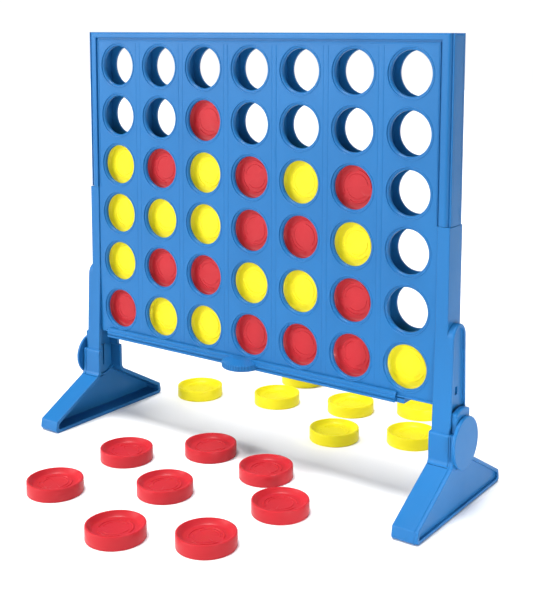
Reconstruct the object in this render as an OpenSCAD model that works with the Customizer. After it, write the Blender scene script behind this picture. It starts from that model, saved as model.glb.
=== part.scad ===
// Four-in-a-row game: an upright slotted grid on two folding feet, a sliding release bar
// under the columns, and 42 dished discs. Millimetres, +Z up, +X to the right, -Y to the
// front. The origin is on the table, midway between the feet, in the grid's middle plane.

/* [Grid] */
// Number of columns
columns = 7; // [4:1:7]
// Number of rows
rows = 6; // [4:1:6]
// Distance between column centres
column_pitch = 33.5; // [33.2:0.1:35]
// Distance between row centres, a little over the disc's diameter
row_pitch = 30.1; // [30.1:0.1:31]
// Height of the bottom row's centre above the table
first_row_z = 72; // [72:0.5:80]
// Diameter of the window in front of each disc
window_d = 23.4; // [20:0.2:24]
// Diameter of the chamfer at the face of each window
window_rim_d = 24.6; // [24.2:0.1:26]
// Free depth between the two shells
channel_depth = 8.4; // [7.8:0.1:9]
// Thickness of each shell's panel
panel_t = 2.2; // [1.8:0.1:2.6]
// How far the outer border stands proud of the panel
border_proud = 0.6; // [0.4:0.1:0.8]
// Width of the side border outside the last column
side_border = 6.95; // [6:0.05:8]

/* [Discs] */
// Disc diameter
disc_d = 29.8; // [28:0.1:29.8]
// Disc thickness over the rims
disc_t = 7.2; // [6:0.1:7.4]
// Thickness of the web between the two dished faces
disc_web = 2.2; // [1.6:0.1:3]

/* [Release bar] */
// Travel of the bar from closed to open
bar_travel = 16.5; // [15:0.5:16.5]
// Depth of the bar over its two rails
bar_depth = 18.4; // [17.6:0.2:20]
// Thickness of the posts that hold up the columns
post_t = 2; // [1.6:0.2:2.4]
// Radius of the thumb tab
tab_r = 12; // [10:0.5:14]

/* [Legs] */
// Wall thickness of the uprights
leg_wall = 2; // [1.6:0.2:2.2]
// Height of the fold axis above the table
hub_z = 37; // [36:0.5:38]
// Half of the leg's depth at the hub
band_y = 10.4; // [10:0.1:10.6]
// Radius of the arc where the upright ends and the foot begins
seam_r = 15.7; // [15.4:0.1:15.8]
// Radius of the round top of the foot's boss
boss_r = 17.8; // [17:0.1:18]
// Radius of the round pivot cap
cap_r = 13.7; // [12:0.1:14]
// Half of the foot's length, front to back
foot_half_l = 47; // [44:1:56]
// Wall thickness of the feet
foot_wall = 2.2; // [1.8:0.1:2.6]
// Slope of the foot's top edges, in degrees from level
foot_slope = 29.4; // [28:0.2:31]

/* [Hidden] */
$fn = 96;
eps = 0.01;
gap = 0.3;

// Each string is one row of the game, from the bottom row up: R red, Y yellow, - empty.
LAYOUT = ["RYYRRRY", "YRRYYR-", "YYYRRY-", "YRYRYR-", "--R----", "-------"];
// Where the discs outside the grid lie on the table, as their centres.
RED_LOOSE = [[24, -23], [56, -54], [-21, -16], [-56, -49], [-56, -103], [-7, -71], [7, -122], [48, -103]];
YELLOW_LOOSE = [[-92, 59], [-41, 77], [7, 92], [24, 46], [65, 68], [46, 114], [-51, 122], [-49, 121]];
// The last yellow disc lies on top of the one before it.
STACKED = len(YELLOW_LOOSE);

channel_y = channel_depth / 2;
panel_y = channel_y + panel_t;
border_y = panel_y + border_proud;
divider_t = 3.1;
grid_half_w = columns * column_pitch / 2 + side_border;
grid_bottom = first_row_z - 16.2;
grid_top = first_row_z + (rows - 1) * row_pitch + 20;
border_w = 6.2;
top_border_h = 3.3;
step_w = 2.2;
rib_bottom = grid_bottom + 2.4;
rib_top = grid_top - 1;
bead_proud = 0.9;
bead_h = 1;

leg_top = first_row_z + 2.5 * row_pitch;
ear_bottom = leg_top + 0.15;
leg_x0 = columns * column_pitch / 2 + 0.25;
leg_x1 = leg_x0 + 6.9;
skin_x1 = leg_x1 + leg_wall;
arch_x1 = skin_x1 + 1.5;
arch_r = 7.2;
arch_z = leg_top - 56.5;
snap_z = hub_z + 24;
snap_h = 4.2;
snap_w = 2.8;
rim_w = 2;
band_top = hub_z + 6;
column_y = 9.2;
ring_r = 13.5;
foot_x0 = leg_x0 - 1;
plate_x0 = skin_x1 + gap;
plate_t = 2.6;
plate_x1 = plate_x0 + plate_t;
foot_x1 = plate_x1 + 1.5;
boss_x0 = arch_x1 + 0.2;
bushing_r = 8;
cap_x0 = foot_x1 + gap;
cap_t = 1.9;
pin_r = 6;
barb_proud = 0.8;
seat_r = seam_r + gap;
toe_r = 2.4;
nose_lean = 10;
nose_y = foot_half_l - 0.8;
nose_z = 7.1;
fillet_r = 4;
tongue_x1 = leg_x1 - leg_wall - 0.5;

bar_y = bar_depth / 2;
bar_z = grid_bottom - 2.8;
rail_h = 5.7;
face_h = 3.6;
step_in = 0.7;
floor_h = 2.4;
lip_h = 1.5;
tab_h = 3.8;
bar_left = -leg_x0 + 7.5;
bar_right = leg_x0 - gap - bar_travel;
rail_right = bar_right - 4.6;
tab_x = -5;

RED = [0.78, 0.05, 0.08];
YELLOW = [1, 0.85, 0.02];
BLUE = [0.09, 0.35, 0.72];

function column_x(c) = (c - (columns + 1) / 2) * column_pitch;
function row_z(r) = first_row_z + (r - 1) * row_pitch;
function mark(c, r) = LAYOUT[r - 1][c - 1];
function filled(c, r) = mark(c, r) != "-";
function colour_word(c, r) = mark(c, r) == "R" ? "red" : "yellow";
function grid_disc_name(c, r) = str(colour_word(c, r), "_disc_c", c, "_r", r);
function loose_name(word, i) = str(word, "_disc_loose_", i);
function mirrored(points) = [for (i = [len(points) - 1:-1:0]) [-points[i][0], points[i][1]]];

// A box from its lowest to its highest corner.
module block(low, high) {
    translate(low) cube(high - low);
}

// Extrudes a flat outline, drawn in Y and Z, along X.
module along_x(x0, x1) {
    translate([x0, 0, 0]) rotate([90, 0, 90]) linear_extrude(x1 - x0) children();
}

// A cylinder on the fold axis.
module hub_cylinder(r, x0, x1) {
    translate([x0, 0, hub_z]) rotate([0, 90, 0]) cylinder(r = r, h = x1 - x0);
}

// ---- grid ----

// One window, cut through the rear shell, with its chamfer at the outer face.
module window(c, r) {
    chamfer = (window_rim_d - window_d) / 2;
    translate([column_x(c), 0, row_z(r)]) rotate([-90, 0, 0]) {
        cylinder(d = window_d, h = border_y + 1);
        translate([0, 0, panel_y - chamfer])
            cylinder(d1 = window_d, d2 = window_rim_d + 2 * eps, h = chamfer + eps);
    }
}

// The raised border: up both sides above the legs and across the top, in two steps.
module border() {
    step_y = panel_y + border_proud / 2;
    for (side = [-1, 1]) {
        outer = side * grid_half_w;
        inner = side * (grid_half_w - border_w);
        inner_step = inner - side * step_w;
        low_x = min(outer, inner);
        low_step = min(inner, inner_step);
        block([low_x, panel_y - eps, ear_bottom], [low_x + border_w, border_y, grid_top]);
        block([low_step, panel_y - eps, ear_bottom], [low_step + step_w, step_y, grid_top - top_border_h]);
    }
    inner_x = grid_half_w - border_w;
    block([-inner_x, panel_y - eps, grid_top - top_border_h], [inner_x, border_y, grid_top]);
    block([-inner_x, panel_y - eps, grid_top - top_border_h - step_w], [inner_x, step_y, grid_top - top_border_h]);
}

// The rear half of the grid. The front half is its mirror image.
module rear_half() {
    panel_x = leg_x0 - 0.2;
    difference() {
        union() {
            block([-panel_x, channel_y, grid_bottom], [panel_x, panel_y, ear_bottom]);
            block([-grid_half_w, channel_y, ear_bottom], [grid_half_w, panel_y, grid_top]);
            border();
            block([bar_left - 3, channel_y, grid_bottom], [panel_x, panel_y + bead_proud, grid_bottom + bead_h]);
        }
        for (c = [1:columns]) for (r = [1:rows]) window(c, r);
    }
}

module rear_shell() {
    color(BLUE) rear_half();
}

module front_shell() {
    color(BLUE) mirror([0, 1, 0]) rear_half();
}

// The ribs between the columns, which keep the shells apart and guide the discs.
module column_dividers() {
    color(BLUE) for (c = [1:columns - 1]) {
        x = column_x(c + 0.5);
        block([x - divider_t / 2, -channel_y, rib_bottom], [x + divider_t / 2, channel_y, rib_top]);
    }
}

// The end wall of the grid, with the tongue below it that the upright slides onto.
module side_rail() {
    x0 = leg_x0 - 1.6;
    block([x0, -channel_y, ear_bottom], [grid_half_w, channel_y, rib_top]);
    block([x0, -channel_y, rib_bottom], [tongue_x1, channel_y, ear_bottom]);
    lug_y = snap_w / 2 - gap;
    block([tongue_x1 - eps, -lug_y, snap_z + gap], [leg_x1 + 0.6, lug_y, snap_z + snap_h - gap]);
}

module right_side_rail() {
    color(BLUE) side_rail();
}

module left_side_rail() {
    color(BLUE) mirror([1, 0, 0]) side_rail();
}

// ---- legs ----

// Half of the leg seen from the side: sole, blunt toe, slope, fillet, and the band up to its top.
function leg_side(inset) =
    let (r = toe_r - inset, toe_y = foot_half_l - toe_r, normal = 90 - foot_slope)
    let (slope_c = nose_y * cos(normal) + nose_z * sin(normal), slope_d = slope_c - inset)
    let (nose_d = toe_y * cos(nose_lean) + toe_r * sin(nose_lean) + r, meet = sin(normal - nose_lean))
    let (fillet_y = band_y + fillet_r, turn = fillet_r + inset)
    let (fillet_z = (slope_c + fillet_r - fillet_y * cos(normal)) / sin(normal))
    concat(
        [for (i = [0:5]) let (a = -90 + i * (nose_lean + 90) / 5) [toe_y + r * cos(a), toe_r + r * sin(a)]],
        [[
            (nose_d * sin(normal) - slope_d * sin(nose_lean)) / meet,
            (slope_d * cos(nose_lean) - nose_d * cos(normal)) / meet
        ]],
        [
            for (i = [0:6]) let (a = 180 + normal * (6 - i) / 6)
            [fillet_y + turn * cos(a), fillet_z + turn * sin(a)]
        ],
        [[band_y - inset, band_top]]
    );

module leg_outline(inset) {
    side = leg_side(inset);
    polygon(concat(side, mirrored(side)));
}

// The upright's lower end: the part of the leg inside the arc that the foot turns round.
module band_outline(inset) {
    intersection() {
        leg_outline(inset);
        translate([0, hub_z]) circle(r = seam_r);
    }
}

// The upright's column: straight beside the grid and a little deeper towards the band.
module column_outline(inset, top) {
    side = [
        [border_y + 0.1 - inset, top],
        [border_y + 0.1 - inset, arch_z + 3],
        [column_y - inset, band_top],
        [column_y - inset, band_top - 1]
    ];
    polygon(concat(side, mirrored(side)));
}

// The housing on the upright's outer side, with an arch at its top.
module arch_outline(inset) {
    translate([0, arch_z]) circle(r = arch_r - inset);
    column_outline(inset, arch_z);
    band_outline(inset);
}

module upright() {
    difference() {
        union() {
            along_x(leg_x0, leg_x1) column_outline(0, leg_top);
            along_x(leg_x1 - eps, skin_x1) arch_outline(0);
            along_x(foot_x0, skin_x1) band_outline(0);
            difference() {
                along_x(skin_x1 - eps, arch_x1) arch_outline(0);
                along_x(skin_x1, arch_x1 + 1) arch_outline(rim_w);
            }
        }
        along_x(leg_x0 - 1, leg_x1 - leg_wall) column_outline(leg_wall, leg_top + 1);
        along_x(leg_x0, leg_x1) column_outline(leg_wall, arch_z);
        along_x(foot_x0 - 1, leg_x1) leg_outline(leg_wall);
        difference() {
            along_x(leg_x1 - eps, arch_x1 + 1) leg_outline(leg_wall);
            hub_cylinder(ring_r, leg_x0, skin_x1);
            block([leg_x0, -band_y, hub_z], [skin_x1, band_y, band_top + 1]);
        }
        block([leg_x0, -snap_w / 2, snap_z], [arch_x1 + 1, snap_w / 2, snap_z + snap_h]);
        hub_cylinder(pin_r + 0.05, leg_x0, arch_x1 + 1);
    }
    intersection() {
        difference() {
            hub_cylinder(ring_r, leg_x1 - 1.2, leg_x1 + eps);
            hub_cylinder(ring_r - 1.4, leg_x1 - 2, leg_x1 + 1);
        }
        along_x(leg_x1 - 3, leg_x1 + 1) leg_outline(leg_wall / 2);
    }
}

module right_upright() {
    color(BLUE) upright();
}

module left_upright() {
    color(BLUE) mirror([1, 0, 0]) upright();
}

// The round cap and its split pin, which snaps into the upright and carries the foot.
module pivot_cap() {
    barb_x = leg_x1 - 1.4;
    difference() {
        union() {
            hub_cylinder(pin_r, barb_x, cap_x0 + eps);
            hub_cylinder(pin_r + barb_proud, barb_x, leg_x1 - 0.1);
            translate([cap_x0, 0, hub_z]) rotate([0, 90, 0]) rotate_extrude() polygon([
                [0, 0], [cap_r, 0], [cap_r, cap_t - 0.7], [cap_r - 0.7, cap_t], [0, cap_t]
            ]);
        }
        block([barb_x - 1, -0.6, hub_z - pin_r - 1], [skin_x1, 0.6, hub_z + pin_r + 1]);
    }
}

module right_pivot_cap() {
    color(BLUE) pivot_cap();
}

module left_pivot_cap() {
    color(BLUE) mirror([1, 0, 0]) pivot_cap();
}

// The foot is hollow towards the grid. Its boss lies over the upright's end, under the cap.
module foot() {
    difference() {
        union() {
            difference() {
                along_x(foot_x0, foot_x1) leg_outline(0);
                hub_cylinder(seat_r, foot_x0 - 1, boss_x0);
                along_x(foot_x0 - 1, plate_x0 + 0.6) leg_outline(foot_wall);
                difference() {
                    along_x(plate_x1, foot_x1 + 1) leg_outline(foot_wall);
                    hub_cylinder(cap_r + 0.9, plate_x1 - 1, foot_x1 + 2);
                }
            }
            intersection() {
                hub_cylinder(boss_r, boss_x0, foot_x1);
                block([boss_x0, rim_w - column_y, hub_z], [foot_x1, column_y - rim_w, hub_z + boss_r + 1]);
            }
            hub_cylinder(bushing_r, plate_x0, boss_x0 + eps);
        }
        hub_cylinder(pin_r + 0.08, plate_x0 - 1, foot_x1 + 1);
    }
}

module right_foot() {
    color(BLUE) foot();
}

module left_foot() {
    color(BLUE) mirror([1, 0, 0]) foot();
}

// ---- release bar ----

// One rail of the bar: floor, side wall, and a lip that hooks over the shell's bottom edge.
module rail_section() {
    polygon([
        [channel_y + 0.5, bar_z],
        [bar_y, bar_z],
        [bar_y, bar_z + face_h],
        [bar_y - step_in, bar_z + face_h],
        [bar_y - step_in, bar_z + rail_h],
        [panel_y + 0.4, bar_z + rail_h],
        [panel_y + 0.4, bar_z + rail_h - lip_h],
        [panel_y + 1.3, bar_z + rail_h - lip_h],
        [panel_y + 1.3, bar_z + floor_h],
        [channel_y + 0.5, bar_z + floor_h]
    ]);
}

// The bar stands closed: each post is under its column's disc, the last one at its edge.
module release_bar() {
    post_top = first_row_z - disc_d / 2 - gap;
    first_post = column_x(1.5) - bar_travel;
    color(BLUE) {
        for (side = [0, 1]) mirror([0, side, 0]) {
            along_x(bar_left, rail_right) rail_section();
            block([rail_right - eps, channel_y + 0.5, bar_z], [bar_right, panel_y + 0.9, bar_z + floor_h]);
        }
        for (i = [0:columns - 1]) {
            x = i < columns - 1 ? first_post + i * column_pitch : bar_right - post_t / 2;
            low_x = x - post_t / 2;
            block([low_x, -channel_y - 0.6, bar_z], [low_x + post_t, channel_y + 0.6, bar_z + floor_h]);
            block([low_x, gap - channel_y, bar_z], [low_x + post_t, channel_y - gap, post_top]);
        }
        difference() {
            translate([tab_x, 5.5 - tab_r, bar_z]) {
                cylinder(r = tab_r, h = tab_h);
                translate([0, 0, tab_h - eps]) cylinder(r1 = tab_r - 0.7, r2 = tab_r / 2, h = rail_h - tab_h);
            }
            block([tab_x - tab_r - 1, 1 - bar_y, bar_z - 1], [tab_x + tab_r + 1, tab_r, bar_z + rail_h + 1]);
        }
    }
}

// ---- discs ----

// A disc lying flat on Z = 0: a thin rim around two dished faces with a low ring in each.
module disc(colour) {
    web = disc_web / 2;
    rim = disc_t / 2;
    r = disc_d / 2;
    half = [
        [r, rim - 0.4], [r - 0.4, rim], [r - 1, rim], [r - 1.4, rim - 0.4], [r - 3.2, web + 0.2],
        [r - 3.6, web], [9, web], [8.7, web + 0.3], [8.1, web + 0.3], [7.8, web], [0, web]
    ];
    color(colour) translate([0, 0, rim]) rotate_extrude()
        polygon(concat(half, [for (i = [len(half) - 1:-1:0]) [half[i][0], -half[i][1]]]));
}

module grid_disc(c, r) {
    colour = mark(c, r) == "R" ? RED : YELLOW;
    translate([column_x(c), disc_t / 2, row_z(r)]) rotate([90, 0, 0]) disc(colour);
}

module loose_disc(colour, place, level) {
    translate([place[0], place[1], level]) disc(colour);
}

front_shell();
rear_shell();
column_dividers();
left_side_rail();
right_side_rail();
left_upright();
right_upright();
left_pivot_cap();
right_pivot_cap();
left_foot();
right_foot();
release_bar();
for (c = [1:columns]) for (r = [1:rows])
    if (filled(c, r)) grid_disc(c, r);
for (i = [1:len(RED_LOOSE)])
    loose_disc(RED, RED_LOOSE[i - 1], 0);
for (i = [1:len(YELLOW_LOOSE)])
    loose_disc(YELLOW, YELLOW_LOOSE[i - 1], i == STACKED ? disc_t + gap : 0);
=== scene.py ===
import math

import bmesh
import bpy
from mathutils import Matrix, Vector


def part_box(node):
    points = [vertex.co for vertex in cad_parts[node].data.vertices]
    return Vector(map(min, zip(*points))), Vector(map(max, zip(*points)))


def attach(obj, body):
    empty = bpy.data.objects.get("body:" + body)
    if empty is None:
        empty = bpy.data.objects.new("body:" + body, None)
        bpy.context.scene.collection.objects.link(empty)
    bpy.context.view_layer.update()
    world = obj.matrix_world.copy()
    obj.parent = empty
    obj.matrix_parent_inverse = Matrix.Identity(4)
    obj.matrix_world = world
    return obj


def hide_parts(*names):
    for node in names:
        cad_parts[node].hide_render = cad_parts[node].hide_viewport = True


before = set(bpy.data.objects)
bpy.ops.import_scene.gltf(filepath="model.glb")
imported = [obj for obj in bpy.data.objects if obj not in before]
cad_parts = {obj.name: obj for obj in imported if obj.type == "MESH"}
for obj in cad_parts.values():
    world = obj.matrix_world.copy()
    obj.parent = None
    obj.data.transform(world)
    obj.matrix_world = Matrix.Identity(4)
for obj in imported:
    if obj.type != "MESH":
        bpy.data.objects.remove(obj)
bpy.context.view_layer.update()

# The looks of the four-in-a-row game. Every piece is built in millimetres in the frame's own axes,
# as rounded mouldings that replace the plain CAD nodes, and is turned into metres when it is placed.

MM = 0.001
SKIN = 0.01  # how far solids overlap before they are joined
GAP = 0.3  # between two pieces that move or slide on each other
SHARP = math.radians(38)  # an edge that turns by more than this is kept sharp


def box_mm(node):
    low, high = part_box(node)
    return low / MM, high / MM


# ---- sizes, from the frame ----

SHELL_LOW, SHELL_HIGH = box_mm("rear_shell")
UPRIGHT_LOW, UPRIGHT_HIGH = box_mm("right_upright")
RAIL_LOW, RAIL_HIGH = box_mm("right_side_rail")
CAP_LOW, CAP_HIGH = box_mm("right_pivot_cap")
FOOT_LOW, FOOT_HIGH = box_mm("right_foot")
BAR_LOW, BAR_HIGH = box_mm("release_bar")
FIRST_DISC_LOW, FIRST_DISC_HIGH = box_mm("red_disc_c1_r1")
SECOND_DISC_LOW, SECOND_DISC_HIGH = box_mm("yellow_disc_c1_r2")
NEXT_DISC_LOW, NEXT_DISC_HIGH = box_mm("yellow_disc_c2_r1")

COLUMNS = 7
ROWS = 6
GRID_HALF_W = SHELL_HIGH.x
GRID_BOTTOM = SHELL_LOW.z
GRID_TOP = SHELL_HIGH.z
CHANNEL_Y = SHELL_LOW.y
BORDER_Y = 7.0
PANEL_Y = 6.4
FIRST_X = (FIRST_DISC_LOW.x + FIRST_DISC_HIGH.x) / 2
FIRST_Z = (FIRST_DISC_LOW.z + FIRST_DISC_HIGH.z) / 2
COLUMN_PITCH = NEXT_DISC_LOW.x - FIRST_DISC_LOW.x
ROW_PITCH = SECOND_DISC_LOW.z - FIRST_DISC_LOW.z
DISC_R = (FIRST_DISC_HIGH.x - FIRST_DISC_LOW.x) / 2
DISC_T = FIRST_DISC_HIGH.y - FIRST_DISC_LOW.y
WINDOW_R = 11.7
DIVIDER_T = 3.1
BORDER_W = 6.2
TOP_BORDER_H = 3.3
BEAD_PROUD = 0.9
RIB_BOTTOM = RAIL_LOW.z
RIB_TOP = RAIL_HIGH.z

LEG_TOP = UPRIGHT_HIGH.z
EAR_BOTTOM = LEG_TOP + 0.15
LEG_X0 = UPRIGHT_LOW.x + 1
LEG_X1 = LEG_X0 + 6.9
SKIN_X1 = LEG_X1 + 2
ARCH_X1 = UPRIGHT_HIGH.x
LEG_WALL = 2
RIM_W = 2
ARCH_R = 7.2
ARCH_Z = LEG_TOP - 56.5
HUB_Z = (CAP_LOW.z + CAP_HIGH.z) / 2
CAP_R = (CAP_HIGH.z - CAP_LOW.z) / 2
BAND_Y = 10.4
BAND_TOP = HUB_Z + 6
COLUMN_Y = 9.2
SEAM_R = 15.7
SEAT_R = SEAM_R + GAP
BOSS_R = 17.8
BOSS_X0 = ARCH_X1 + 0.2
RING_R = 13.5
BUSHING_R = 8
HUB_STEPS = 96
FILLET_R = 4
PIN_R = 6
SNAP_Z = HUB_Z + 24
SNAP_H = 4.2
SNAP_W = 2.8
CAP_X1 = CAP_HIGH.x
CAP_X0 = CAP_X1 - 1.9

PLATE_X0 = SKIN_X1 + GAP
PLATE_X1 = PLATE_X0 + 2.6
FOOT_X0 = FOOT_LOW.x
FOOT_X1 = FOOT_HIGH.x
FOOT_HALF_L = FOOT_HIGH.y
FOOT_WALL = 2.2
HOLLOW_X1 = PLATE_X0 + 0.6
FOOT_SLOPE = math.radians(29.4)
TOE_R = 2.4
NOSE_LEAN = math.radians(10)
NOSE_Y = FOOT_HALF_L - 0.8
NOSE_Z = 7.1

BAR_Z = BAR_LOW.z
BAR_TOP = BAR_HIGH.z
BAR_LEFT = BAR_LOW.x
BAR_RIGHT = BAR_HIGH.x
BAR_Y = BAR_HIGH.y
RAIL_RIGHT = BAR_RIGHT - 4.6
BAR_TRAVEL = 16.5
FLOOR_H = 2.4
POST_T = 2
TAB_X = -5
TAB_R = 12
TAB_Y = 5.5 - TAB_R


# ---- mesh kit ----


def along_x(y, z, x):
    return (x, y, z)


def along_y(x, z, y):
    return (x, y, z)


def along_z(x, y, z):
    return (x, y, z)


def anticlockwise(points):
    area = sum(
        a[0] * b[1] - b[0] * a[1] for a, b in zip(points, points[1:] + points[:1])
    )
    return points if area > 0 else points[::-1]


def inset(points, distance):
    """The outline moved inwards by distance, with mitred corners."""
    moved = []
    count = len(points)
    for i in range(count):
        here = Vector(points[i])
        before = (here - Vector(points[i - 1])).normalized()
        after = (Vector(points[(i + 1) % count]) - here).normalized()
        normals = Vector((-before.y, before.x)) + Vector((-after.y, after.x))
        share = 1 + before.dot(after)
        moved.append(tuple(here + normals * (distance / max(share, 0.2))))
    return moved


def arc(centre, radius, start, end, steps):
    """Points on an arc from start to end, in degrees."""
    angles = [math.radians(start + (end - start) * i / steps) for i in range(steps + 1)]
    return [
        (centre[0] + radius * math.cos(a), centre[1] + radius * math.sin(a))
        for a in angles
    ]


def close_rows(bm, rows, ring=False):
    """Joins rows of vertices, each to the next, and closes the two ends unless they form a ring."""
    pairs = list(zip(rows, rows[1:]))
    if ring:
        pairs.append((rows[-1], rows[0]))
    for low, high in pairs:
        for i in range(len(low)):
            j = (i + 1) % len(low)
            corners = list(dict.fromkeys([low[i], low[j], high[j], high[i]]))
            if len(corners) > 2:
                bm.faces.new(corners)
    if not ring:
        for row in (rows[0], rows[-1]):
            corners = list(dict.fromkeys(row))
            if len(corners) > 2:
                bm.faces.new(corners)


def add_stack(bm, outline, levels, place):
    """A solid of the outline at each (inset, height) level."""
    outline = anticlockwise(outline)
    rows = []
    for distance, height in levels:
        points = inset(outline, distance) if distance else outline
        rows.append([bm.verts.new(place(u, v, height)) for u, v in points])
    close_rows(bm, rows)


def add_lathe(bm, profile, place, centre=(0, 0), steps=72, ring=False):
    """A solid of the (radius, height) profile turned about centre."""
    rows = []
    for radius, height in profile:
        if radius == 0:
            rows.append([bm.verts.new(place(*centre, height))] * steps)
            continue
        turned = arc(centre, radius, 0, 360 * (steps - 1) / steps, steps - 1)
        rows.append([bm.verts.new(place(u, v, height)) for u, v in turned])
    close_rows(bm, rows, ring)


def add_object(name, data):
    made = bpy.data.objects.new(name, data)
    bpy.context.scene.collection.objects.link(made)
    return made


def mesh_from(bm, name):
    mesh = bpy.data.meshes.new(name)
    bm.to_mesh(mesh)
    bm.free()
    return mesh


def solid(bm):
    bmesh.ops.recalc_face_normals(bm, faces=bm.faces)
    return add_object("solid", mesh_from(bm, "solid"))


def stack(outline, levels, place):
    bm = bmesh.new()
    add_stack(bm, outline, levels, place)
    return solid(bm)


def lathe(profile, place, centre, steps):
    bm = bmesh.new()
    add_lathe(bm, profile, place, centre, steps)
    return solid(bm)


def prism(outline, low, high, place):
    return stack(outline, [(0, low), (0, high)], place)


def edge_levels(radius, face, inward, steps=3):
    """Levels that round a side into the end face at height face."""
    angles = [math.pi / 2 * i / steps for i in range(steps + 1)]
    return [
        (radius * (1 - math.cos(a)), face + inward * radius * (1 - math.sin(a)))
        for a in angles
    ]


def rounded(outline, low, high, low_radius, high_radius, place):
    """A prism with rounded edges at its two ends."""
    levels = edge_levels(low_radius, low, 1)[::-1] if low_radius else [(0, low)]
    levels += edge_levels(high_radius, high, -1) if high_radius else [(0, high)]
    return stack(outline, levels, place)


def pocket(outline, floor, lip, fillet, lip_radius, place, upward=1):
    """A cutter for a pocket: rounded at its floor, and flared so that its lip is left rounded."""
    levels = edge_levels(fillet, floor, upward)[::-1] if fillet else [(0, floor)]
    flare = edge_levels(lip_radius, lip, -upward) if lip_radius else [(0, lip)]
    levels += [(-distance, height) for distance, height in flare]
    levels.append((-lip_radius, lip + upward))
    return stack(outline, levels, place)


def rectangle(low, high):
    return [(low[0], low[1]), (high[0], low[1]), (high[0], high[1]), (low[0], high[1])]


def block(low, high):
    return prism(rectangle(low, high), low[2], high[2], along_z)


def combine(base, tools, operation):
    for tool in tools:
        step = base.modifiers.new("step", "BOOLEAN")
        step.operation = operation
        step.solver = "MANIFOLD"
        step.object = tool
    graph = bpy.context.evaluated_depsgraph_get()
    mesh = bpy.data.meshes.new_from_object(base.evaluated_get(graph))
    base.modifiers.clear()
    base.data = mesh
    for tool in tools:
        bpy.data.objects.remove(tool)
    return base


def join(base, *tools):
    return combine(base, tools, "UNION")


def cut(base, *tools):
    return combine(base, tools, "DIFFERENCE")


def mirrored(source, axis):
    made = add_object("solid", source.data.copy())
    made.data.transform(Matrix.Scale(-1, 4, axis))
    made.data.flip_normals()
    return made


def place_piece(made, node, body, material):
    """Turns a solid in millimetres into the piece that stands for a CAD node."""
    made.name = node + "_moulded"
    made.data.name = made.name
    made.data.transform(Matrix.Scale(MM, 4))
    dress(made, material)
    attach(made, body)
    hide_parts(node)


def shade(mesh, material):
    """Gives the mesh its material, smooth faces and sharp edges."""
    mesh.materials.clear()
    mesh.materials.append(material)
    for face in mesh.polygons:
        face.use_smooth = True
    mesh.set_sharp_from_angle(angle=SHARP)


def dress(made, material):
    shade(made.data, material)
    weighted = made.modifiers.new("flat_faces", "WEIGHTED_NORMAL")
    weighted.keep_sharp = True
    weighted.weight = 80


# ---- materials ----


def plastic(name, colour, dark, light, roughness, coat, translucency):
    """Moulded plastic: flow marks in its colour, uneven gloss, fine texture and hairline scratches."""
    material = bpy.data.materials.new(name)
    material.use_nodes = True
    nodes = material.node_tree.nodes
    links = material.node_tree.links
    shader = nodes["Principled BSDF"]
    shader.inputs["IOR"].default_value = 1.5
    shader.inputs["Specular IOR Level"].default_value = 0.14
    shader.inputs["Coat Weight"].default_value = coat
    shader.inputs["Coat Roughness"].default_value = 0.22
    shader.inputs["Subsurface Weight"].default_value = translucency
    shader.inputs["Subsurface Radius"].default_value = (1.0, 0.6, 0.4)
    shader.inputs["Subsurface Scale"].default_value = 0.0015
    place = nodes.new("ShaderNodeTexCoord")

    def noise_of(scale, detail, stretch=(1, 1, 1)):
        mapping = nodes.new("ShaderNodeMapping")
        mapping.inputs["Scale"].default_value = stretch
        links.new(place.outputs["Object"], mapping.inputs["Vector"])
        texture = nodes.new("ShaderNodeTexNoise")
        texture.inputs["Scale"].default_value = scale
        texture.inputs["Detail"].default_value = detail
        links.new(mapping.outputs["Vector"], texture.inputs["Vector"])
        return texture.outputs["Fac"]

    flow = noise_of(26, 3, (1, 1, 0.45))
    ramp = nodes.new("ShaderNodeValToRGB")
    ramp.color_ramp.elements[0].position = 0.3
    ramp.color_ramp.elements[0].color = (*dark, 1)
    ramp.color_ramp.elements[1].position = 0.7
    ramp.color_ramp.elements[1].color = (*light, 1)
    middle = ramp.color_ramp.elements.new(0.5)
    middle.color = (*colour, 1)
    links.new(flow, ramp.inputs["Fac"])
    links.new(ramp.outputs["Color"], shader.inputs["Base Color"])

    gloss = nodes.new("ShaderNodeMapRange")
    gloss.inputs["From Min"].default_value = 0.3
    gloss.inputs["From Max"].default_value = 0.7
    gloss.inputs["To Min"].default_value = roughness - 0.05
    gloss.inputs["To Max"].default_value = roughness + 0.06
    links.new(noise_of(70, 4), gloss.inputs["Value"])
    links.new(gloss.outputs["Result"], shader.inputs["Roughness"])

    grain = nodes.new("ShaderNodeBump")
    grain.inputs["Strength"].default_value = 0.12
    grain.inputs["Distance"].default_value = 0.00004
    links.new(noise_of(2600, 2), grain.inputs["Height"])
    scratches = nodes.new("ShaderNodeBump")
    scratches.inputs["Strength"].default_value = 0.1
    scratches.inputs["Distance"].default_value = 0.00006
    links.new(noise_of(90, 6, (1, 1, 14)), scratches.inputs["Height"])
    links.new(grain.outputs["Normal"], scratches.inputs["Normal"])
    links.new(scratches.outputs["Normal"], shader.inputs["Normal"])
    return material


BLUE = plastic(
    "blue_plastic", (0.012, 0.122, 0.328), (0.011, 0.114, 0.31), (0.013, 0.13, 0.346),
    roughness=0.33, coat=0.04, translucency=0.0,
)
RED = plastic(
    "red_plastic", (0.45, 0.016, 0.024), (0.425, 0.014, 0.021), (0.475, 0.019, 0.028),
    roughness=0.42, coat=0.1, translucency=0.15,
)
YELLOW = plastic(
    "yellow_plastic", (0.74, 0.65, 0.01), (0.71, 0.62, 0.008), (0.77, 0.68, 0.013),
    roughness=0.42, coat=0.1, translucency=0.15,
)


# ---- grid ----


def window_centres():
    return [
        (FIRST_X + c * COLUMN_PITCH, FIRST_Z + r * ROW_PITCH)
        for c in range(COLUMNS)
        for r in range(ROWS)
    ]


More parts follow.
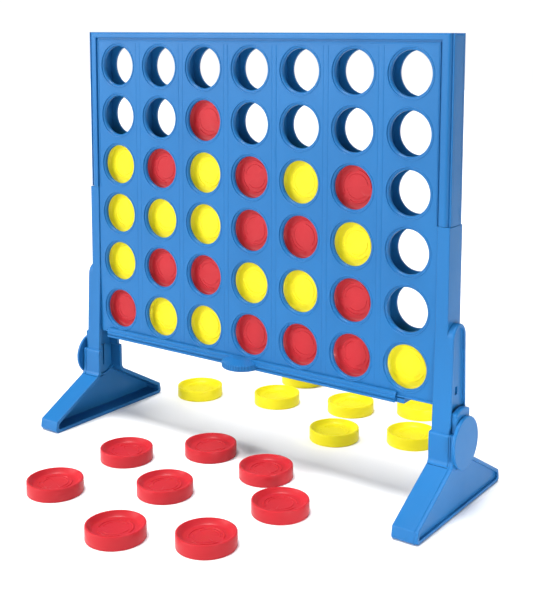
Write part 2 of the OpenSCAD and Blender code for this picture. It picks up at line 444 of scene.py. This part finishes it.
def border_section():
    """The upper shell's section in X and Y: rolled edges, each with a groove and a thin corner bead."""
    corner = GRID_HALF_W
    right = [(corner, CHANNEL_Y), (corner, 5.6)]
    right += arc((corner - 0.4, 5.6), 0.4, 0, 150, 5)
    right += [(corner - 0.95, 5.3), (corner - 1.25, 5.3)]
    right += arc((corner - 3.7, 4.4), 2.6, 24, 90, 6)
    left = [(-x, y) for x, y in reversed(right)]
    return right + left


def shell():
    """The rear half of the grid."""
    upper = prism(border_section(), EAR_BOTTOM, GRID_TOP, along_z)
    top_roll = 1.3
    roll = arc((BORDER_Y - top_roll, GRID_TOP - top_roll), top_roll, 0, 90, 5)
    roll += [(BORDER_Y - top_roll, GRID_TOP + 1), (BORDER_Y + 1, GRID_TOP + 1)]
    roll += [(BORDER_Y + 1, GRID_TOP - top_roll)]
    inner_x = GRID_HALF_W - BORDER_W
    inner_z = GRID_TOP - TOP_BORDER_H
    groove_w = 1
    groove_y = PANEL_Y - 0.6
    well = rectangle((-inner_x, EAR_BOTTOM - 5), (inner_x, inner_z))
    made = cut(
        upper,
        prism(roll, -GRID_HALF_W - 1, GRID_HALF_W + 1, along_x),
        pocket(well, groove_y, BORDER_Y, 0, 0.3, along_y),
    )
    panel_x = inner_x - groove_w
    panel = rectangle((-panel_x, GRID_BOTTOM), (panel_x, inner_z - groove_w))
    between_legs = LEG_X0 - 0.2
    lower = rectangle((-between_legs, GRID_BOTTOM), (between_legs, EAR_BOTTOM + SKIN))
    bead_r = 0.5
    bead = [(CHANNEL_Y + 1, GRID_BOTTOM)]
    bead += arc((PANEL_Y + BEAD_PROUD - bead_r, GRID_BOTTOM + bead_r), bead_r, -90, 90, 6)
    bead += [(CHANNEL_Y + 1, GRID_BOTTOM + 2 * bead_r)]
    made = join(
        made,
        rounded(panel, CHANNEL_Y, PANEL_Y, 0, 0.15, along_y),
        prism(lower, CHANNEL_Y, PANEL_Y, along_y),
        prism(bead, BAR_LEFT - 3, between_legs, along_x),
    )
    made = join(made, *inner_beads(panel_x, inner_z - groove_w))
    made = cut(made, window_cutters(), divider_lines())
    return join(made, window_beads())


def half_round(centre, width, height):
    """A low rounded bead's section: its crest above height, its root sunk below it."""
    crest = 0.22
    root = height - 0.6
    across = arc((0, 0), 1, 0, 180, 6)
    points = [(centre + x * width / 2, height + y * crest) for x, y in across]
    return [(centre + width / 2, root)] + points + [(centre - width / 2, root)]


def inner_beads(panel_x, panel_top):
    """The thin bead that follows the border round the panel."""
    width = 0.7
    inside = 0.75
    x = panel_x - inside
    z = panel_top - inside
    sides = [
        prism(half_round(side * x, width, PANEL_Y), EAR_BOTTOM, z, along_z)
        for side in (-1, 1)
    ]
    top = [(y, z) for z, y in half_round(z, width, PANEL_Y)]
    return sides + [prism(top, -x - width / 2, x + width / 2, along_x)]


def window_cutters():
    """Each window with its chamfer, and the shallow step round it."""
    step_y = PANEL_Y - 0.36
    profile = [(0, CHANNEL_Y - 1), (WINDOW_R, CHANNEL_Y - 1), (WINDOW_R, PANEL_Y - 1.2)]
    profile += [(WINDOW_R + 0.08, PANEL_Y - 0.9), (WINDOW_R + 0.5, PANEL_Y - 0.42)]
    profile += [(WINDOW_R + 0.65, step_y), (WINDOW_R + 1.25, step_y)]
    profile += [(WINDOW_R + 1.3, BORDER_Y + 1), (0, BORDER_Y + 1)]
    bm = bmesh.new()
    for centre in window_centres():
        add_lathe(bm, profile, along_y, centre)
    return solid(bm)


def window_beads():
    crest = 0.28
    half_width = 0.36
    middle = WINDOW_R + 1.62
    profile = [(middle - half_width, PANEL_Y - 0.6)]
    profile += [
        (middle + half_width * u, PANEL_Y + crest * v - SKIN)
        for u, v in arc((0, 0), 1, 180, 0, 5)
    ]
    profile += [(middle + half_width, PANEL_Y - 0.6)]
    bm = bmesh.new()
    for centre in window_centres():
        add_lathe(bm, profile, along_y, centre, ring=True)
    return solid(bm)


def divider_lines():
    """Faint upright lines over each divider's two faces."""
    half_width = 0.28
    depth = 0.16
    bm = bmesh.new()
    for c in range(COLUMNS - 1):
        for side in (-1, 1):
            x = FIRST_X + (c + 0.5) * COLUMN_PITCH + side * DIVIDER_T / 2
            notch = [(x - half_width, PANEL_Y + 0.05), (x, PANEL_Y - depth)]
            notch += [(x + half_width, PANEL_Y + 0.05)]
            add_stack(bm, notch, [(0, GRID_BOTTOM + 3), (0, GRID_TOP - 6.5)], along_z)
    return solid(bm)


def dividers():
    bm = bmesh.new()
    for c in range(COLUMNS - 1):
        x = FIRST_X + (c + 0.5) * COLUMN_PITCH
        outline = rectangle((x - DIVIDER_T / 2, -CHANNEL_Y), (x + DIVIDER_T / 2, CHANNEL_Y))
        levels = [(0, RIB_BOTTOM)] + edge_levels(0.5, RIB_TOP, -1)
        add_stack(bm, outline, levels, along_z)
    return solid(bm)


def side_rail():
    """An end wall of the grid, with the tongue below it and the snap that holds the upright."""
    x0 = LEG_X0 - 1.6
    tongue_x1 = LEG_X1 - LEG_WALL - 0.5
    edge_r = 0.35
    snap_y = SNAP_W / 2 - GAP
    upper = [(x0, -CHANNEL_Y)]
    upper += arc((GRID_HALF_W - edge_r, -CHANNEL_Y + edge_r), edge_r, -90, 0, 3)
    upper += arc((GRID_HALF_W - edge_r, CHANNEL_Y - edge_r), edge_r, 0, 90, 3) + [(x0, CHANNEL_Y)]
    snap_low = (tongue_x1 - 1, -snap_y, SNAP_Z + GAP)
    snap_high = (LEG_X1 + 0.6, snap_y, SNAP_Z + SNAP_H - GAP)
    return join(
        rounded(upper, EAR_BOTTOM, RIB_TOP, 0, 0.4, along_z),
        block((x0, -CHANNEL_Y, RIB_BOTTOM), (tongue_x1, CHANNEL_Y, EAR_BOTTOM + SKIN)),
        block(snap_low, snap_high),
    )


# ---- legs ----


def hub_disc(radius, x0, x1, edge=0.0):
    """A cylinder on the fold axis, with a rounded outer edge."""
    profile = [(0, x0), (radius, x0)]
    if edge:
        profile += [(radius - d, x) for d, x in edge_levels(edge, x1, -1)]
    else:
        profile += [(radius, x1)]
    return lathe(profile + [(0, x1)], along_x, (0, HUB_Z), HUB_STEPS)


def leg_side(narrower):
    """Half of the leg from the side: sole, blunt toe, slope, fillet, and the band up to its ledge."""
    normal = math.pi / 2 - FOOT_SLOPE
    toe_y = FOOT_HALF_L - TOE_R
    slope_c = NOSE_Y * math.cos(normal) + NOSE_Z * math.sin(normal)
    nose_c = toe_y * math.cos(NOSE_LEAN) + TOE_R * math.sin(NOSE_LEAN) + TOE_R
    crease_r = 1.2  # more than the foot's edge steps in, so that no step folds it over
    nose_d = nose_c - narrower - crease_r
    slope_d = slope_c - narrower - crease_r
    meet = math.sin(normal - NOSE_LEAN)
    crease_y = (nose_d * math.sin(normal) - slope_d * math.sin(NOSE_LEAN)) / meet
    crease_z = (slope_d * math.cos(NOSE_LEAN) - nose_d * math.cos(normal)) / meet
    fillet_y = BAND_Y + FILLET_R
    fillet_z = (slope_c + FILLET_R - fillet_y * math.cos(normal)) / math.sin(normal)
    up = math.degrees(normal)
    lean = math.degrees(NOSE_LEAN)
    least_corner = 1
    corner_r = max(TOE_R - narrower, least_corner)
    corner_z = narrower + corner_r
    corner_y = (nose_c - narrower - corner_r - corner_z * math.sin(NOSE_LEAN)) / math.cos(NOSE_LEAN)
    side = arc((corner_y, corner_z), corner_r, -90, lean, 6)
    side += arc((crease_y, crease_z), crease_r, lean, up, 4)
    side += arc((fillet_y, fillet_z), FILLET_R + narrower, 180 + up, 180, 8)
    ledge = [(0.1, 4.6), (0.3, 5.4), (0.7, 5.85), (1.3, 6)]
    return side + [(BAND_Y - inward - narrower, HUB_Z + rise) for inward, rise in ledge]


def both_sides(side):
    return side + [(-y, z) for y, z in reversed(side)]


def leg_outline(narrower):
    return both_sides(leg_side(narrower))


def column_outline(narrower, top):
    side = [
        (COLUMN_Y - narrower, HUB_Z + 3), (COLUMN_Y - narrower, BAND_TOP),
        (BORDER_Y + 0.1 - narrower, ARCH_Z + 3), (BORDER_Y + 0.1 - narrower, top),
    ]
    return both_sides(side)


def arch_outline(narrower):
    side = [(COLUMN_Y - narrower, HUB_Z + 3), (COLUMN_Y - narrower, BAND_TOP)]
    crown = arc((0, ARCH_Z), ARCH_R - narrower, 4, 176, 16)
    return side + crown + [(-y, z) for y, z in reversed(side)]


def upright():
    """Column, housing with its arched well, and the band round the hub; hollow towards the grid."""
    column = rounded(column_outline(0, LEG_TOP), LEG_X0, LEG_X1, 0.4, 0.6, along_x)
    housing = rounded(arch_outline(0), LEG_X0 + 0.5, ARCH_X1, 0, 0.9, along_x)
    band = rounded(leg_outline(0), FOOT_X0, ARCH_X1, 0.4, 0.25, along_x)
    band = combine(band, [hub_disc(SEAM_R, FOOT_X0 - 1, ARCH_X1 + 1)], "INTERSECT")
    lower = [(y, z) for y, z in leg_side(LEG_WALL) if z < HUB_Z]
    lower = both_sides(lower + [(lower[-1][0], HUB_Z)])
    opening = cut(
        prism(lower, LEG_X1 - SKIN, ARCH_X1 + 1, along_x), hub_disc(RING_R, LEG_X0, SKIN_X1)
    )
    made = join(column, housing, band)
    made = cut(
        made,
        pocket(arch_outline(RIM_W), SKIN_X1, ARCH_X1, 0.5, 0.6, along_x),
        pocket(leg_outline(LEG_WALL), SKIN_X1, ARCH_X1, 0, 0.2, along_x),
        prism(column_outline(LEG_WALL, LEG_TOP + 1), LEG_X0 - 1, LEG_X1 - LEG_WALL, along_x),
        prism(column_outline(LEG_WALL, ARCH_Z), LEG_X0 - 1, LEG_X1, along_x),
        pocket(leg_outline(LEG_WALL), LEG_X1, FOOT_X0, 0, 0.3, along_x, -1),
        opening,
        block((LEG_X0, -SNAP_W / 2, SNAP_Z), (ARCH_X1 + 1, SNAP_W / 2, SNAP_Z + SNAP_H)),
        hub_disc(PIN_R + 0.05, LEG_X0, ARCH_X1 + 1),
    )
    ring = hub_ring(RING_R - 1.4, RING_R, LEG_X1 - 1.2, LEG_X1 + SKIN)
    within = prism(leg_outline(LEG_WALL / 2), LEG_X1 - 3, LEG_X1 + 1, along_x)
    return join(made, combine(ring, [within], "INTERSECT"))


def hub_ring(inner, outer, x0, x1):
    edge = 0.3
    profile = [(inner, x1), (inner, x0 + edge), (inner + edge, x0), (outer - edge, x0)]
    profile += [(outer, x0 + edge), (outer, x1)]
    bm = bmesh.new()
    add_lathe(bm, profile, along_x, (0, HUB_Z), HUB_STEPS, ring=True)
    return solid(bm)


def pivot_cap():
    """A round cap whose split pin runs through the foot and snaps behind the upright's wall."""
    barb_x = LEG_X1 - 1.4
    slot_w = 1.2
    cap = lathe(
        [(0, CAP_X0)]
        + [(CAP_R - d, x) for d, x in edge_levels(0.3, CAP_X0, 1)[::-1]]
        + [(CAP_R - d, x) for d, x in edge_levels(0.7, CAP_X1, -1, 5)]
        + [(0, CAP_X1)],
        along_x, (0, HUB_Z), 128,
    )
    made = join(
        cap,
        hub_disc(PIN_R, barb_x, CAP_X0 + SKIN),
        hub_disc(PIN_R + 0.8, barb_x, LEG_X1 - 0.1, 0.3),
    )
    slot_low = (barb_x - 1, -slot_w / 2, HUB_Z - PIN_R - 1)
    return cut(made, block(slot_low, (SKIN_X1, slot_w / 2, HUB_Z + PIN_R + 1)))


def foot():
    """Hollow towards the grid, with a boss over the upright's end and a thin rim round its plate."""
    step = 0.3
    levels = edge_levels(0.4, FOOT_X0, 1)[::-1] + [(0, PLATE_X1 - 0.5), (step, PLATE_X1 - 0.25)]
    levels += [(step + d, x) for d, x in edge_levels(0.6, FOOT_X1, -1)]
    recess = cut(
        pocket(leg_outline(FOOT_WALL), PLATE_X1, FOOT_X1, 0.3, 0.3, along_x),
        hub_disc(CAP_R + 0.9, PLATE_X1 - 1, FOOT_X1 + 2),
    )
    made = cut(
        stack(leg_outline(0), levels, along_x),
        hub_disc(SEAT_R, FOOT_X0 - 1, BOSS_X0),
        pocket(leg_outline(FOOT_WALL), HOLLOW_X1, FOOT_X0, 0.5, 0.3, along_x, -1),
        recess,
    )
    boss_y = COLUMN_Y - RIM_W
    above_hub = rectangle((-boss_y, HUB_Z), (boss_y, HUB_Z + BOSS_R + 2))
    keep = rounded(above_hub, BOSS_X0 - 1, FOOT_X1, 0, 0.5, along_x)
    boss = combine(hub_disc(BOSS_R, BOSS_X0, FOOT_X1, 0.9), [keep], "INTERSECT")
    made = join(made, boss, hub_disc(BUSHING_R, PLATE_X0, BOSS_X0 + SKIN))
    return cut(made, hub_disc(PIN_R + 0.08, PLATE_X0 - 1, FOOT_X1 + 1))


# ---- release bar ----


def rail_section():
    """One rail: floor, a side wall with two ribs, and the lip over the shell's bead."""
    face = BAR_Y
    back = face - 0.7
    points = [(CHANNEL_Y + 0.5, BAR_Z), (face - 0.4, BAR_Z), (face, BAR_Z + 0.4)]
    points += [(face, BAR_Z + 1.1), (face - 0.3, BAR_Z + 1.4), (face - 0.85, BAR_Z + 1.45)]
    points += [(face - 0.85, BAR_Z + 2.1), (face - 0.3, BAR_Z + 2.15), (face, BAR_Z + 2.45)]
    points += [(face, BAR_Z + 3.2), (face - 0.4, BAR_Z + 3.6)]
    points += [(back, BAR_Z + 3.6), (back, BAR_TOP - 0.3), (back - 0.3, BAR_TOP)]
    points += [(PANEL_Y + 0.4, BAR_TOP), (PANEL_Y + 0.4, BAR_TOP - 1.5)]
    points += [(PANEL_Y + 1.3, BAR_TOP - 1.5), (PANEL_Y + 1.3, BAR_Z + FLOOR_H)]
    return points + [(CHANNEL_Y + 0.5, BAR_Z + FLOOR_H)]


def thumb_tab():
    """The half-round tab: a band of fine ridges under a smooth top that rises to the bar."""
    ridges = 44
    depth = 0.55
    steps = ridges * 6
    levels = [(TAB_R - 0.9, BAR_Z, 0), (TAB_R - 0.2, BAR_Z + 0.4, 0.4), (TAB_R, BAR_Z + 0.8, 1)]
    levels += [(TAB_R, BAR_Z + 3.0, 1), (TAB_R - 0.2, BAR_Z + 3.5, 0.4)]
    levels += [(TAB_R - 0.8, BAR_Z + 3.8, 0.3), (TAB_R - 3.4, BAR_Z + 4.7, 0.3)]
    levels += [(TAB_R / 2, BAR_TOP - 0.15, 0.2), (TAB_R / 2 - 1, BAR_TOP, 0)]
    bm = bmesh.new()
    rows = []
    for radius, z, share in levels:
        row = []
        for i in range(steps):
            angle = 2 * math.pi * i / steps
            groove = depth * share * (0.5 - 0.5 * math.cos(ridges * angle))
            reach = radius - groove
            row.append(
                bm.verts.new((TAB_X + reach * math.cos(angle), TAB_Y + reach * math.sin(angle), z))
            )
        rows.append(row)
    close_rows(bm, rows)
    behind = block(
        (TAB_X - TAB_R - 1, 1 - BAR_Y, BAR_Z - 1), (TAB_X + TAB_R + 1, TAB_R, BAR_TOP + 1)
    )
    return cut(solid(bm), behind)


def release_bar():
    """Two rails tied by posts that hold the columns up, and the thumb tab in front."""
    made = rounded(rail_section(), BAR_LEFT, RAIL_RIGHT, 0.4, 0.4, along_x)
    made = join(made, mirrored(made, Vector((0, 1, 0))))
    parts = []
    low_y = CHANNEL_Y + 0.5
    high_y = PANEL_Y + 0.9
    for y0, y1 in ((low_y, high_y), (-high_y, -low_y)):
        parts.append(block((RAIL_RIGHT - 1, y0, BAR_Z), (BAR_RIGHT, y1, BAR_Z + FLOOR_H)))
    first_post = FIRST_X + COLUMN_PITCH / 2 - BAR_TRAVEL
    places = [first_post + i * COLUMN_PITCH for i in range(COLUMNS - 1)]
    post_top = FIRST_DISC_LOW.z - GAP
    for x in places + [BAR_RIGHT - POST_T / 2]:
        x0 = x - POST_T / 2
        x1 = x + POST_T / 2
        parts.append(block((x0, -CHANNEL_Y - 0.6, BAR_Z), (x1, CHANNEL_Y + 0.6, BAR_Z + FLOOR_H)))
        parts.append(block((x0, GAP - CHANNEL_Y, BAR_Z), (x1, CHANNEL_Y - GAP, post_top)))
    parts.append(thumb_tab())
    return join(made, *parts)


# ---- discs ----


def disc_mesh(name, material):
    """A disc lying flat, centred on the origin: a thin rim round two dished faces with broken rings."""
    rim = DISC_T / 2
    web = 1.1
    steps = 120
    # radius, height of the face, and how much of each broken ring it carries
    face = [(DISC_R, rim - 0.45, 0, 0), (DISC_R - 0.13, rim - 0.13, 0, 0)]
    face += [(DISC_R - 0.45, rim, 0, 0), (DISC_R - 0.9, rim, 0, 0), (DISC_R - 1.12, rim - 0.1, 0, 0)]
    face += [(DISC_R - 1.3, rim - 0.45, 0, 0), (DISC_R - 2.9, web + 0.5, 0, 0)]
    face += [(DISC_R - 3.3, web + 0.14, 0, 0), (DISC_R - 4.0, web, 0, 0)]
    face += [(9.0, web, 0, 0), (8.8, web, 1, 0), (8.3, web, 1, 0), (8.1, web, 0, 0)]
    face += [(6.9, web, 0, 0), (6.75, web, 0, 1), (6.45, web, 0, 1), (6.3, web, 0, 0), (0, web, 0, 0)]
    bm = bmesh.new()
    rows = []
    for side in (1, -1):
        half = []
        for radius, height, outer, inner in face:
            row = []
            for i in range(steps):
                angle = 360 * i / steps
                lift = 0.32 * outer * broken(angle, 3, 26, 0)
                lift += 0.2 * inner * broken(angle, 2, 50, 70)
                z = side * (height + lift)
                turn = math.radians(angle)
                if radius == 0:
                    row = [bm.verts.new((0, 0, z))] * steps
                    break
                row.append(bm.verts.new((radius * math.cos(turn), radius * math.sin(turn), z)))
            half.append(row)
        rows = rows + half if side == 1 else half[::-1] + rows
    close_rows(bm, rows)
    bmesh.ops.recalc_face_normals(bm, faces=bm.faces)
    mesh = mesh_from(bm, name)
    mesh.transform(Matrix.Scale(MM, 4))
    shade(mesh, material)
    return mesh


def broken(angle, count, opening, offset):
    """One on a ring's ridges and nothing in its openings, with short ramps between."""
    pitch = 360 / count
    along = (angle + offset) % pitch
    ramp = 4
    return max(0, min(1, (along - opening) / ramp, (pitch - along) / ramp))


def place_discs():
    meshes = {
        "red": disc_mesh("red_disc", RED),
        "yellow": disc_mesh("yellow_disc", YELLOW),
    }
    nodes = sorted(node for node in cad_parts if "_disc_" in node)
    golden_turn = math.radians(137.5)
    for i, node in enumerate(nodes):
        colour = node.split("_")[0]
        low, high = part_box(node)
        made = add_object(node + "_moulded", meshes[colour])
        lying = high.z - low.z < high.x - low.x - DISC_T * MM
        stand = Matrix.Identity(4) if lying else Matrix.Rotation(math.pi / 2, 4, "X")
        turn = Matrix.Rotation(golden_turn * i, 4, "Z")
        made.matrix_world = Matrix.Translation((low + high) / 2) @ stand @ turn
        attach(made, node)
        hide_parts(node)


# ---- pieces ----


def place_blue(made, node, body="board"):
    place_piece(made, node, body, BLUE)


def place_board():
    rear = shell()
    place_blue(mirrored(rear, Vector((0, 1, 0))), "front_shell")
    place_blue(rear, "rear_shell")
    place_blue(dividers(), "column_dividers")
    place_blue(release_bar(), "release_bar", "release_slider")
    for build, part, body in (
        (side_rail, "side_rail", "board"),
        (upright, "upright", "board"),
        (pivot_cap, "pivot_cap", "board"),
        (foot, "foot", None),
    ):
        right = build()
        left = mirrored(right, Vector((1, 0, 0)))
        place_blue(right, "right_" + part, body or "right_" + part)
        place_blue(left, "left_" + part, body or "left_" + part)


place_board()
place_discs()


# ---- setting ----


def add_floor():
    half = 4  # metres
    bm = bmesh.new()
    corners = [(-half, -half), (half, -half), (half, half), (-half, half)]
    bm.faces.new([bm.verts.new((x, y, 0)) for x, y in corners])
    mesh = mesh_from(bm, "floor")
    floor = add_object("floor", mesh)
    material = bpy.data.materials.new("floor")
    material.use_nodes = True
    shader = material.node_tree.nodes["Principled BSDF"]
    shader.inputs["Base Color"].default_value = (0.93, 0.93, 0.93, 1)
    shader.inputs["Roughness"].default_value = 0.6
    mesh.materials.append(material)


def add_light(kind, place, aim, size, power, spread=180):
    """An area light of the given side in metres, or a sun of the given width in degrees.

    An area light's spread is the width of its beam in degrees.
    """
    data = bpy.data.lights.new(kind.lower(), kind)
    data.energy = power
    if kind == "SUN":
        data.angle = math.radians(size)
    else:
        data.shape = "SQUARE"
        data.size = size
        data.spread = math.radians(spread)
    light = add_object(data.name, data)
    light.location = place
    light.rotation_mode = "QUATERNION"
    light.rotation_quaternion = (Vector(aim) - Vector(place)).to_track_quat("-Z", "Y")


def add_world():
    """A studio that is white round the horizon and dimmer overhead."""
    world = bpy.data.worlds.new("studio")
    bpy.context.scene.world = world
    world.use_nodes = True
    nodes = world.node_tree.nodes
    links = world.node_tree.links
    place = nodes.new("ShaderNodeTexCoord")
    height = nodes.new("ShaderNodeSeparateXYZ")
    shade = nodes.new("ShaderNodeMapRange")
    shade.inputs["From Min"].default_value = 0.12
    shade.inputs["From Max"].default_value = 0.3
    shade.inputs["To Min"].default_value = 1.02
    shade.inputs["To Max"].default_value = 0.3
    links.new(place.outputs["Generated"], height.inputs["Vector"])
    links.new(height.outputs["Z"], shade.inputs["Value"])
    links.new(shade.outputs["Result"], nodes["Background"].inputs["Strength"])
    nodes["Background"].inputs["Color"].default_value = (1, 1, 1, 1)


def add_camera():
    """The camera looks left across the grid's front, a little downwards, from the grid's own height."""
    azimuth = math.radians(34.85)
    elevation = math.radians(-7.01)
    roll = math.radians(0.29)
    eye = (0.3546, -0.4702, 0.2403)
    forward = Vector(
        (
            -math.sin(azimuth) * math.cos(elevation),
            math.cos(azimuth) * math.cos(elevation),
            math.sin(elevation),
        )
    )
    level = forward.cross(Vector((0, 0, 1))).normalized()
    upward = level.cross(forward)
    right = level * math.cos(roll) + upward * math.sin(roll)
    up = upward * math.cos(roll) - level * math.sin(roll)
    data = bpy.data.cameras.new("camera")
    data.sensor_width = 36
    data.lens = 63.9
    data.shift_x = -0.05
    data.shift_y = -0.22
    camera = add_object("camera", data)
    turn = Matrix((right, up, -forward)).transposed().to_4x4()
    camera.matrix_world = Matrix.Translation(eye) @ turn
    bpy.context.scene.camera = camera


add_floor()
add_world()
# overhead, front, front left, right, and a narrow low beam on the right foot
add_light("SUN", (-0.1, -0.25, 2), (0, 0, 0), 24, 3.7)
add_light("SUN", (-0.9, -1.9, 0.6), (0, 0, 0), 40, 1.2)
add_light("AREA", (-0.7, -0.8, 0.5), (-0.05, 0, 0.17), 0.6, 7)
add_light("AREA", (1.5, -0.5, 0.35), (0.1, 0, 0.03), 0.6, 3)
add_light("AREA", (0.62, -0.3, 0.05), (0.14, -0.02, 0.025), 0.1, 0.05, 25)
add_camera()
bpy.context.scene.view_settings.view_transform = "Standard"
